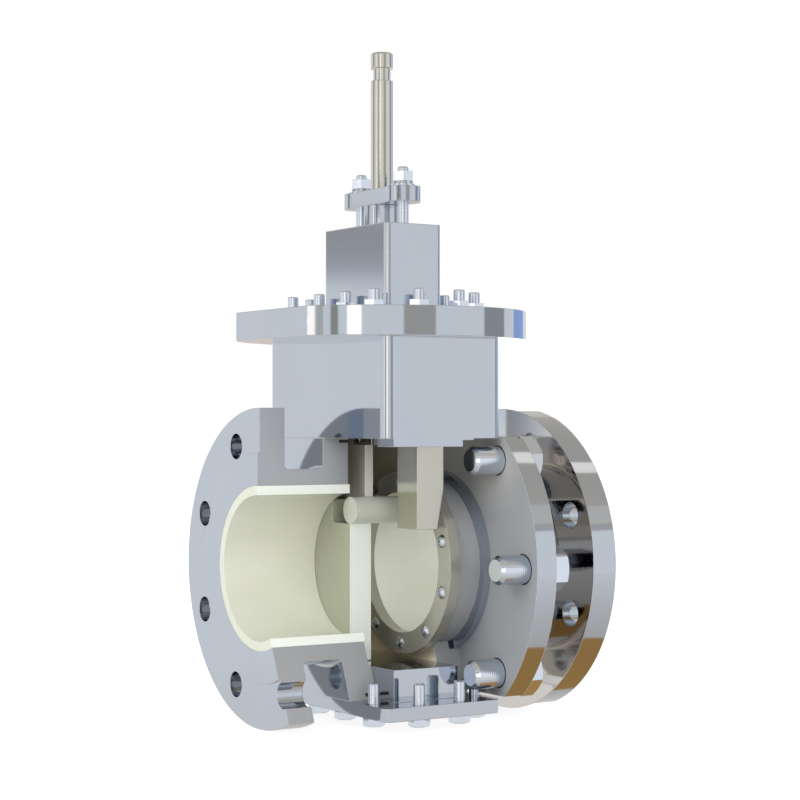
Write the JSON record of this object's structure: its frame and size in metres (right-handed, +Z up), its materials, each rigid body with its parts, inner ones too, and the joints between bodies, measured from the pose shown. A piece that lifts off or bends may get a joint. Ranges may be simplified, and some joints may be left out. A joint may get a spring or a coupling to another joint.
{
  "type": "ceramic slide valve",
  "caption": "Cutaway slide valve with ceramic liners, a ceramic plate lifted by a rising stem, guide bars, bolted bonnet, stuffing box, bottom cover and flanged pipe ends.",
  "frame": {"origin": "centre of the outlet flange in the plane of its rim, on the flow axis, 1.6 mm behind the raised face", "axes": "+X along the flow from inlet to outlet, +Z up along the stem, -Y towards the side that is cut open"},
  "size_m": [0.2258, 0.242, 0.473],
  "materials": {
    "cast_steel": "polished",
    "machined_steel": "satin",
    "ground_steel": "ground",
    "bright_fastener": "bright",
    "spring_steel": "dark",
    "ceramic": "semi gloss",
    "rubber": "matte",
    "graphite": "matte",
    "bronze": "satin"
  },
  "bodies": {
    "valve": {"body": "cast_steel", "inlet_liner": "ceramic", "outlet_body": "cast_steel", "outlet_liner": "ceramic", "spigot_gasket": "rubber", "seat_retainer": "machined_steel", "retainer_screws": "bright_fastener", "ear_bolts": "bright_fastener", "guide_bars": "machined_steel", "guide_screws": "bright_fastener", "bottom_cover": "cast_steel", "cover_seal": "rubber", "chamber_seal": "rubber", "cover_bolts": "bright_fastener", "bonnet": "cast_steel", "joint_ring": "rubber", "joint_studs": "bright_fastener", "joint_nuts": "bright_fastener", "neck_bush": "bronze", "packing_rings": "graphite", "gland_follower": "machined_steel", "gland_flange": "cast_steel", "gland_studs": "bright_fastener", "gland_washers": "bright_fastener", "gland_spring_washers": "spring_steel", "gland_nuts": "bright_fastener"},
    "gate": {"gate_plate": "ceramic", "gate_pin": "ceramic", "hanger_plate": "machined_steel", "gate_dowel": "bright_fastener", "crosshead": "machined_steel", "crosshead_pin": "bright_fastener", "stem": "ground_steel"}
  },
  "joints": [
    {"name": "gate_lift", "type": "slide", "parent": "valve", "child": "gate", "axis": [0, 0, 1], "range_m": [0, 0.118]}
  ]
}
